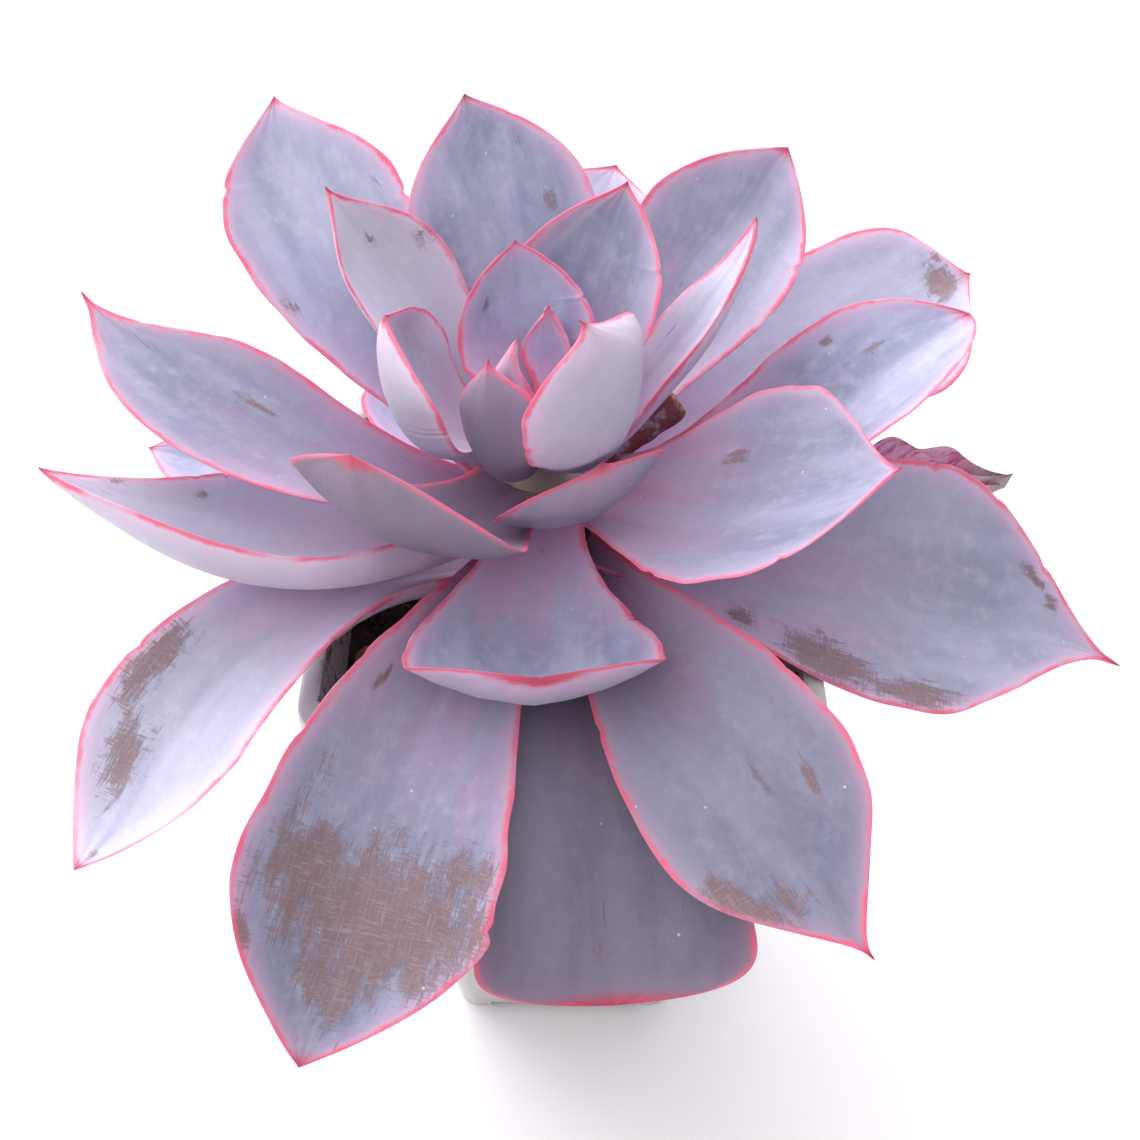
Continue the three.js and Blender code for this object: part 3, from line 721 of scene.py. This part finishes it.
def leaf_points(leaf, s, across, depth, rng):
    """Points of the leaf, in millimetres, for shares along, across (-1 right, 1 left) and through."""
    azimuth = math.radians(leaf["azimuth"])
    rise = math.radians(leaf["rise"])
    outwards = np.array([math.cos(azimuth), math.sin(azimuth), 0])
    left = np.array([-math.sin(azimuth), math.cos(azimuth), 0])
    chord = outwards * math.cos(rise) + np.array([0, 0, math.sin(rise)])
    lift = np.cross(chord, left)
    base = np.array([STEM_X, STEM_Y, leaf["height"]]) + outwards * (stem_radius(leaf["height"]) + GAP)

    length = leaf["length"]
    bow = (4 * s * (1 - s))[..., None]
    slope = (4 * (1 - 2 * s))[..., None]
    tip = np.clip((s - 0.8) / 0.2, 0, 1)[..., None]
    spine = base + chord * length * s[..., None]
    spine = spine + lift * (length * leaf["arch"] * bow + leaf["hook"] * tip**2)
    spine = spine + left * (length * leaf["sway"] * bow + leaf["drift"] * tip**2)

    along = unit(chord + lift * leaf["arch"] * slope + left * leaf["sway"] * slope)
    flat = unit(left - along * (along @ left)[..., None])
    face = np.cross(along, flat)
    roll = (math.radians(leaf["roll"]) * ease(s * 2))[..., None]
    side = flat * np.cos(roll) + face * np.sin(roll)
    up = face * np.cos(roll) - flat * np.sin(roll)

    reach = np.abs(across)
    hand = np.sign(across)
    keel = math.radians(leaf["keel"])
    cup = np.radians(np.where(across > 0, leaf["cup"][0], leaf["cup"][1])) * (1.5 - 0.5 * ease(s * 2))
    cup = np.where(np.abs(cup) < 0.01, 0.01, cup)
    half = half_width(leaf, s, hand, rng)
    turn = keel + cup * reach
    out = half / cup * (np.sin(turn) - np.sin(keel))
    climb = half / cup * (np.cos(keel) - np.cos(turn))
    wave = leaf["ripple"] * reach**2 * np.sin(np.pi * s) * np.sin(2 * np.pi * (2.3 * s + 0.4 * hand))

    body = leaf["thick"] * (1 - s**3) ** 0.6 * (1 - reach**2) ** 0.7
    edge = EDGE_THICK * np.minimum(1, half / 4)
    rounding = np.sqrt(np.clip(1 - reach**10, 0, 1))
    sunk = mix(edge * 0.5 * (1 - rounding), edge * 0.5 * (1 + rounding) + np.maximum(body - edge, 0), depth)

    swell = 0.45 * ripples(rng, s * 9 + across * 1.3, 0.6, 1.6) * ease(s * 3) * ease((1 - s) * 5)
    ribs = 0.10 * ripples(rng, across * 10 + s * 1.5, 0.8, 2.0) * ease(s * 3) * (1 - reach**4)
    rumple = leaf["dried"] * 2.6 * ripples(rng, s * 30 + across * 6, 0.5, 1.6, 8) * ease(s * 3)
    height = climb + wave + swell + ribs + rumple - sunk * np.cos(turn)
    return spine + side * (hand * (out + sunk * np.sin(turn)))[..., None] + up * height[..., None]


def scar_mask(leaf, s, across):
    """Where the blade is scarred, from 0 to 1, as soft ovals."""
    mask = np.zeros_like(s)
    for at_s, at_across, half_s, half_across, strength in leaf["scars"]:
        far = ((s - at_s) / half_s) ** 2 + ((across - at_across) / half_across) ** 2
        mask = np.maximum(mask, strength * np.exp(-far))
    return mask


def build_leaf(name, given, number):
    leaf = {**USUAL, **given}
    t = np.linspace(0, 1, ROWS_ALONG)
    stations = mix(t, np.sin(t * np.pi / 2), 0.55)
    sweep = np.sin(np.linspace(1, -1, COLUMNS_OVER + 1) * np.pi / 2)
    across = np.concatenate([sweep, sweep[1:-1][::-1]])
    depth = np.concatenate([np.zeros(COLUMNS_OVER + 1), np.ones(COLUMNS_OVER - 1)])
    s, across = np.meshgrid(stations, across, indexing="ij")
    depth = np.broadcast_to(depth, s.shape)
    seed = FIRST_SEED + number
    points = leaf_points(leaf, s, across, depth, np.random.default_rng(seed))
    half = half_width(leaf, s, np.sign(across), np.random.default_rng(seed))
    to_tip = (1 - s) * leaf["length"]
    edge_mm = np.minimum(half * (1 - np.abs(across)), to_tip)
    values = {
        "along": s,
        "length_mm": s * leaf["length"],
        "cross_mm": across * half + depth * 60,
        "edge_mm": edge_mm,
        "under": depth,
        "seed": np.full_like(s, number * 11.0),
        "scar": scar_mask(leaf, s, across) * (1 - depth),
        "bloom_and_painted_light": np.full_like(s, BLOOM_AND_PAINTED_LIGHT.get(name, 0.0)),
    }
    piece = loft(name + "_look", points, values)
    finish_piece(piece, SKINS[leaf["slot"]], leaf["slot"], name)
    return piece


SKINS = {
    "leaf": leaf_skin("leaf_skin", 0.4, MAUVE),
    "young_leaf": leaf_skin("young_leaf_skin", 0.5, SAGE),
    "old_leaf": leaf_skin("old_leaf_skin", 0.5, MAUVE),
    "dried_leaf": dried_skin(),
}

for number, (name, leaf) in enumerate(LEAVES.items()):
    build_leaf(name, leaf, number)

# ---- stem and flower stalk ----


def rod(name, stations, sides, wobble, rng, attributes=None):
    """A knobbly rod through (centre, radius) stations, at right angles to its own run."""
    centres = np.array([c for c, _ in stations])
    radii = np.array([r for _, r in stations])
    run = unit(centres[-1] - centres[0])
    across = unit(np.cross(run, [0.3, 1, 0.2]))
    other = np.cross(run, across)
    angle = np.linspace(0, 2 * np.pi, sides, endpoint=False)
    grid = np.arange(len(stations))[:, None]
    knob = 1 + wobble * ripples(rng, np.sin(angle)[None] * 3 + grid * 0.8, 0.6, 1.6)
    ring = np.cos(angle)[:, None] * across + np.sin(angle)[:, None] * other
    rows = centres[:, None] + ring[None] * (radii[:, None] * knob)[..., None]
    return loft(name, rows, attributes)


# Heights in millimetres: the stem is green from LIVING_FROM up, fading in over LIVING_FADE. Its
# rings turn through RING_TURN radians in each millimetre.
LIVING_FROM = 156
LIVING_FADE = 6
RING_DEPTH = 0.25
RING_TURN = 2.1
STEM_INSET = 0.4


def build_stem():
    """Woody stem, ringed by the scars of fallen leaves, and still green at the top."""
    rng = np.random.default_rng(5)
    levels = np.linspace(STEM_FOOT + 0.5, STEM_TOP - 0.5, 60)
    stations = []
    for z in levels:
        ringed = RING_DEPTH * math.sin(z * RING_TURN)
        stations.append((np.array([STEM_X, STEM_Y, z]), stem_radius(z) - STEM_INSET + ringed))
    living = ease((levels - LIVING_FROM) / LIVING_FADE)[:, None]
    stem = rod("stem_look", stations, 40, 0.03, rng, {"living": living})
    finish_piece(stem, stem_skin(), "stem", "stem")


STUB_RUN = 30


def build_stalk():
    """The stub runs between the ends of its CAD box; its last six stations round off the cut end."""
    low, high = box_mm("flower_stalk_stub")
    radius = 3.6
    start = np.array([low[0] + radius * 0.7, low[1] + radius * 0.8, low[2] + radius])
    end = np.array([high[0] - radius * 0.5, high[1] - radius * 0.8, high[2] - radius])
    shares = np.concatenate([np.linspace(0, 0.9, STUB_RUN), [0.93, 0.96, 0.985, 1.0, 1.0, 0.985]])
    sizes = np.concatenate([np.linspace(0.9, 1.05, STUB_RUN), [1.07, 1.04, 0.98, 0.88, 0.6, 0.3]])
    stations = [(mix(start, end, t), radius * k) for t, k in zip(shares, sizes)]
    cut = np.array([0.0] * STUB_RUN + [0.3, 0.7, 1.0, 1.0, 1.0, 1.0])[:, None]
    stalk = rod("flower_stalk_stub_look", stations, 32, 0.035, np.random.default_rng(8), {"cut": cut})
    finish_piece(stalk, stalk_skin(), "flower_stalk", "flower_stalk_stub")


build_stem()
build_stalk()

# ---- pot ----

FLOOR_UNDER = 2.4
FLOOR_TOP = 4.4
WALL = 1.4
BASE_HALF = 29.0
WALL_TOP_HALF = RIM_HALF - 3
RIM_DEPTH = 8.0
RIM_CORNER = 10.0
BASE_CORNER = 6.0
FOOT_LENGTH = 9.0
PAD_RADIUS = 9.0
DRAIN_RADIUS = 4.0
DRAIN_REACH = 16.0


def square_ring(half, corner, z, per_corner=14):
    """A square loop with rounded corners."""
    ring = []
    for quarter in range(4):
        middle = (quarter + 0.5) * math.pi / 2
        reach = (half - corner) * math.sqrt(2)
        for i in range(per_corner + 1):
            a = (quarter + i / per_corner) * math.pi / 2
            x = reach * math.cos(middle) + corner * math.cos(a)
            y = reach * math.sin(middle) + corner * math.sin(a)
            ring.append((x, y, z))
    return np.array(ring)


def wall_half(z):
    return mix(BASE_HALF, WALL_TOP_HALF, z / RIM_TOP)


def wall_corner(z):
    return mix(BASE_CORNER, RIM_CORNER, z / RIM_TOP)


def cut_away(target, tool):
    """Takes the tool's volume out of the target and throws the tool away."""
    cut = target.modifiers.new("cut", "BOOLEAN")
    cut.operation = "DIFFERENCE"
    cut.solver = "EXACT"
    cut.object = tool
    bpy.context.view_layer.update()
    made = bpy.data.meshes.new_from_object(target.evaluated_get(bpy.context.evaluated_depsgraph_get()))
    target.modifiers.clear()
    target.data = made
    bpy.data.objects.remove(tool)


def block(size, middle):
    corners = [(x, y, z) for z in (-0.5, 0.5) for y in (-0.5, 0.5) for x in (-0.5, 0.5)]
    points = np.array(corners) * size + middle
    faces = [(0, 2, 3, 1), (4, 5, 7, 6), (0, 1, 5, 4), (2, 6, 7, 3), (0, 4, 6, 2), (1, 3, 7, 5)]
    return new_mesh("block", points, faces)


def cylinder(radius, bottom, top, x, y, sides=40):
    angle = np.linspace(0, 2 * np.pi, sides, endpoint=False)
    ring = np.stack([x + radius * np.cos(angle), y + radius * np.sin(angle), 0 * angle], -1)
    return loft("cylinder", [ring + (0, 0, bottom), ring + (0, 0, top)])


def build_pot():
    under = RIM_TOP - RIM_DEPTH
    profile = [
        (wall_half(0) - 0.6, BASE_CORNER - 0.6, 0),
        (wall_half(0), BASE_CORNER, 0.6),
        (wall_half(under) - 0.2, wall_corner(under), under - 0.8),
        (wall_half(under) + 0.2, wall_corner(under), under - 0.2),
        (RIM_HALF - 0.8, RIM_CORNER, under + 0.1),
        (RIM_HALF - 0.2, RIM_CORNER, under + 0.5),
        (RIM_HALF, RIM_CORNER, under + 1.2),
        (RIM_HALF, RIM_CORNER, RIM_TOP - 1.3),
        (RIM_HALF - 0.35, RIM_CORNER - 0.35, RIM_TOP - 0.4),
        (RIM_HALF - 1.2, RIM_CORNER - 1.2, RIM_TOP),
        (RIM_HALF - 3.4, RIM_CORNER - 2, RIM_TOP),
        (RIM_HALF - 4.2, RIM_CORNER - 2, RIM_TOP - 0.5),
        (wall_half(under) - WALL, wall_corner(under) - 1, under),
        (wall_half(FLOOR_TOP) - WALL, BASE_CORNER - 1, FLOOR_TOP),
    ]
    pot = loft("pot_look", [square_ring(*station) for station in profile])
    footless = 2 * (BASE_HALF - FOOT_LENGTH)
    reach = (BASE_HALF + 10 + PAD_RADIUS) / 2
    for side in (-1, 1):
        offset = side * (PAD_RADIUS + reach)
        cut_away(pot, block((footless, reach * 2, FLOOR_UNDER * 2), (0, offset, 0)))
        cut_away(pot, block((reach * 2, footless, FLOOR_UNDER * 2), (offset, 0, 0)))
    for x in (-DRAIN_REACH, DRAIN_REACH):
        for y in (-DRAIN_REACH, DRAIN_REACH):
            cut_away(pot, cylinder(DRAIN_RADIUS, -1, FLOOR_TOP + 1, x, y))
    mesh = pot.data
    points = np.array([v.co for v in mesh.vertices]) / MM
    corner = wall_corner(points[:, 2])
    beyond = np.clip(np.abs(points[:, :2]) - (wall_half(points[:, 2]) - corner)[:, None], 0, None)
    inner = np.hypot(*beyond.T) < corner - WALL * 0.5
    inside = mesh.attributes.new("inside", "FLOAT", "POINT")
    inside.data.foreach_set("value", (inner & (points[:, 2] > FLOOR_TOP - 0.1)).astype(np.float32))
    mesh.polygons.foreach_set("use_smooth", np.ones(len(mesh.polygons), bool))
    mesh.set_sharp_from_angle(angle=math.radians(35))
    finish_piece(pot, pot_plastic(), "pot_plastic", "pot")


build_pot()

# ---- soil ----

SOIL_TOP = 135.0
GRIT_COUNT = 2600
CHIP_COUNT = 9
CHIP_ROWS = 18
CHIP_COLUMNS = 24
CHIP_FILL = 0.97


def soil_height(x, y):
    uneven = np.sin(x / 6 + 1) * np.cos(y / 7) + 0.6 * np.sin((x + y) / 4)
    heap = 2.5 * np.exp(-(((x - STEM_X) / 18) ** 2 + ((y - STEM_Y) / 18) ** 2))
    return SOIL_TOP + 1.1 * uneven + heap


def build_soil():
    rng = np.random.default_rng(21)
    edge = square_ring(wall_half(SOIL_TOP) - WALL - 0.05, wall_corner(SOIL_TOP) - 1, SOIL_TOP, 30)
    foot = square_ring(wall_half(FLOOR_TOP) - WALL - 0.1, BASE_CORNER - 1, FLOOR_TOP + 0.3, 30)
    rows = [foot, mix(foot, edge, 0.9)]
    for share in np.linspace(1, 0.1, 60):
        x = mix(STEM_X, edge[:, 0], share)
        y = mix(STEM_Y, edge[:, 1], share)
        crumbs = rng.normal(0, 0.45, len(x))
        rows.append(np.stack([x, y, soil_height(x, y) + crumbs], -1))
    finish_piece(loft("soil_look", rows), soil_stuff("soil", False), "soil", "soil")


def icosahedron():
    g = (1 + math.sqrt(5)) / 2
    points = [(-1, g, 0), (1, g, 0), (-1, -g, 0), (1, -g, 0), (0, -1, g), (0, 1, g)]
    points += [(0, -1, -g), (0, 1, -g), (g, 0, -1), (g, 0, 1), (-g, 0, -1), (-g, 0, 1)]
    faces = [(0, 11, 5), (0, 5, 1), (0, 1, 7), (0, 7, 10), (0, 10, 11), (1, 5, 9), (5, 11, 4)]
    faces += [(11, 10, 2), (10, 7, 6), (7, 1, 8), (3, 9, 4), (3, 4, 2), (3, 2, 6), (3, 6, 8)]
    faces += [(3, 8, 9), (4, 9, 5), (2, 4, 11), (6, 2, 10), (8, 6, 7), (9, 8, 1)]
    return unit(np.array(points, float)), np.array(faces)


def build_grit():
    """Loose crumbs of bark, peat and grit over the whole surface."""
    rng = np.random.default_rng(33)
    shape, sides = icosahedron()
    reach = wall_half(SOIL_TOP) - WALL - 1.5
    points, faces, tones = [], [], []
    for _ in range(GRIT_COUNT):
        x, y = rng.uniform(-reach, reach, 2)
        tone = rng.uniform()
        size = rng.uniform(0.4, 1.1) * (1.5 if tone > 0.85 else 1)
        stretch = rng.uniform(0.5, 1.3, 3)
        corners = shape * size * stretch * rng.uniform(0.8, 1.2, (12, 1))
        turn = rng.uniform(0, 2 * math.pi)
        c, s = math.cos(turn), math.sin(turn)
        corners = corners @ np.array([[c, s, 0], [-s, c, 0], [0, 0, 1]])
        place = np.array([x, y, soil_height(x, y) + size * 0.35])
        faces.extend((sides + 12 * len(points)).tolist())
        points.append(corners + place)
        tones.append(np.full(12, tone))
    values = {"tone": np.concatenate(tones)}
    grit = new_mesh("soil_grit", np.vstack(points), faces, values)
    finish_piece(grit, soil_stuff("grit", True), "soil")


def build_chips():
    """The bigger lumps of bark, each filling the box of its CAD node."""
    material = bark("bark_chip", (0.42, 0.20, 0.09), (0.13, 0.06, 0.03), 260)
    rng = np.random.default_rng(44)
    for number in range(1, CHIP_COUNT + 1):
        low, high = box_mm(f"soil_chip_{number}")
        up = np.linspace(-1, 1, CHIP_ROWS)[:, None]
        angle = np.linspace(0, 2 * np.pi, CHIP_COLUMNS, endpoint=False)[None]
        radius = np.sqrt(np.clip(1 - up**4, 0.02, 1))
        lumps = 0.1 * ripples(rng, np.cos(angle) * 3 + up * 2, 0.8, 2)
        rough = 1 + lumps + rng.normal(0, 0.02, (CHIP_ROWS, CHIP_COLUMNS))
        across = [radius * rough * np.cos(angle), radius * rough * np.sin(angle)]
        unit_rows = np.stack([*across, np.broadcast_to(up, rough.shape)], -1)
        rows = (low + high) / 2 + unit_rows * (high - low) / 2 * CHIP_FILL
        chip = loft(f"soil_chip_{number}_look", rows)
        finish_piece(chip, material, "bark_chip", f"soil_chip_{number}")


build_soil()
build_grit()
build_chips()

# ---- stage: floor, light and camera ----

# The camera's place in metres, its tilt below level in degrees, and the width of its view at a
# distance of one. The room is bright at the back left and dim at the front right, and the window
# is a broad, soft sun that shines from the back left; the floor reaches out in millimetres.
CAMERA_PLACE = (0.0015, -0.2315, 0.3775)
CAMERA_DOWN = 45.6
VIEW_WIDTH = 0.76
SENSOR = 36.0
FLOOR_REACH = 3000
ROOM_BRIGHT_SIDE = (-0.55, 0.70, 0.46)
ROOM_FRONT = 0.1
ROOM_BACK = 1.85
WINDOW = 2.2
WINDOW_SPREAD = 60
WINDOW_TOWARDS = (0.50, -0.80, -0.60)


def build_stage():
    corners = [(x * FLOOR_REACH, y * FLOOR_REACH, 0) for x, y in ((-1, -1), (1, -1), (1, 1), (-1, 1))]
    floor = new_mesh("floor", corners, [(0, 1, 2, 3)])
    paper = Nodes("floor_paper")
    grain = paper.noise(paper.place(), 40, 4)
    paper.set("Base Color", paper.blend(grain, (0.93, 0.92, 0.93), (0.90, 0.89, 0.90)))
    paper.set("Roughness", 0.8)
    floor.data.materials.append(paper.material)

    world = bpy.data.worlds.new("pale_room")
    world.use_nodes = True
    links = world.node_tree.links
    coordinates = world.node_tree.nodes.new("ShaderNodeTexCoord")
    facing = world.node_tree.nodes.new("ShaderNodeVectorMath")
    facing.operation = "DOT_PRODUCT"
    facing.inputs[1].default_value = Vector(ROOM_BRIGHT_SIDE).normalized()
    strength = world.node_tree.nodes.new("ShaderNodeMapRange")
    strength.inputs["From Min"].default_value = -0.8
    strength.inputs["From Max"].default_value = 0.9
    strength.inputs["To Min"].default_value = ROOM_FRONT
    strength.inputs["To Max"].default_value = ROOM_BACK
    backdrop = world.node_tree.nodes["Background"]
    backdrop.inputs["Color"].default_value = (1.0, 0.98, 1.0, 1)
    links.new(coordinates.outputs["Generated"], facing.inputs[0])
    links.new(facing.outputs["Value"], strength.inputs["Value"])
    links.new(strength.outputs["Result"], backdrop.inputs["Strength"])
    bpy.context.scene.world = world

    window = bpy.data.objects.new("window", bpy.data.lights.new("window", "SUN"))
    window.data.energy = WINDOW
    window.data.angle = math.radians(WINDOW_SPREAD)
    window.data.color = (1.0, 0.985, 0.99)
    window.rotation_euler = Vector(WINDOW_TOWARDS).to_track_quat("-Z", "Y").to_euler()
    bpy.context.scene.collection.objects.link(window)

    camera = bpy.data.objects.new("camera", bpy.data.cameras.new("camera"))
    camera.location = CAMERA_PLACE
    camera.rotation_euler = (math.radians(90 - CAMERA_DOWN), 0, 0)
    camera.data.sensor_width = SENSOR
    camera.data.lens = SENSOR / VIEW_WIDTH
    bpy.context.scene.collection.objects.link(camera)
    bpy.context.scene.camera = camera
    bpy.context.scene.view_settings.view_transform = "Standard"


build_stage()
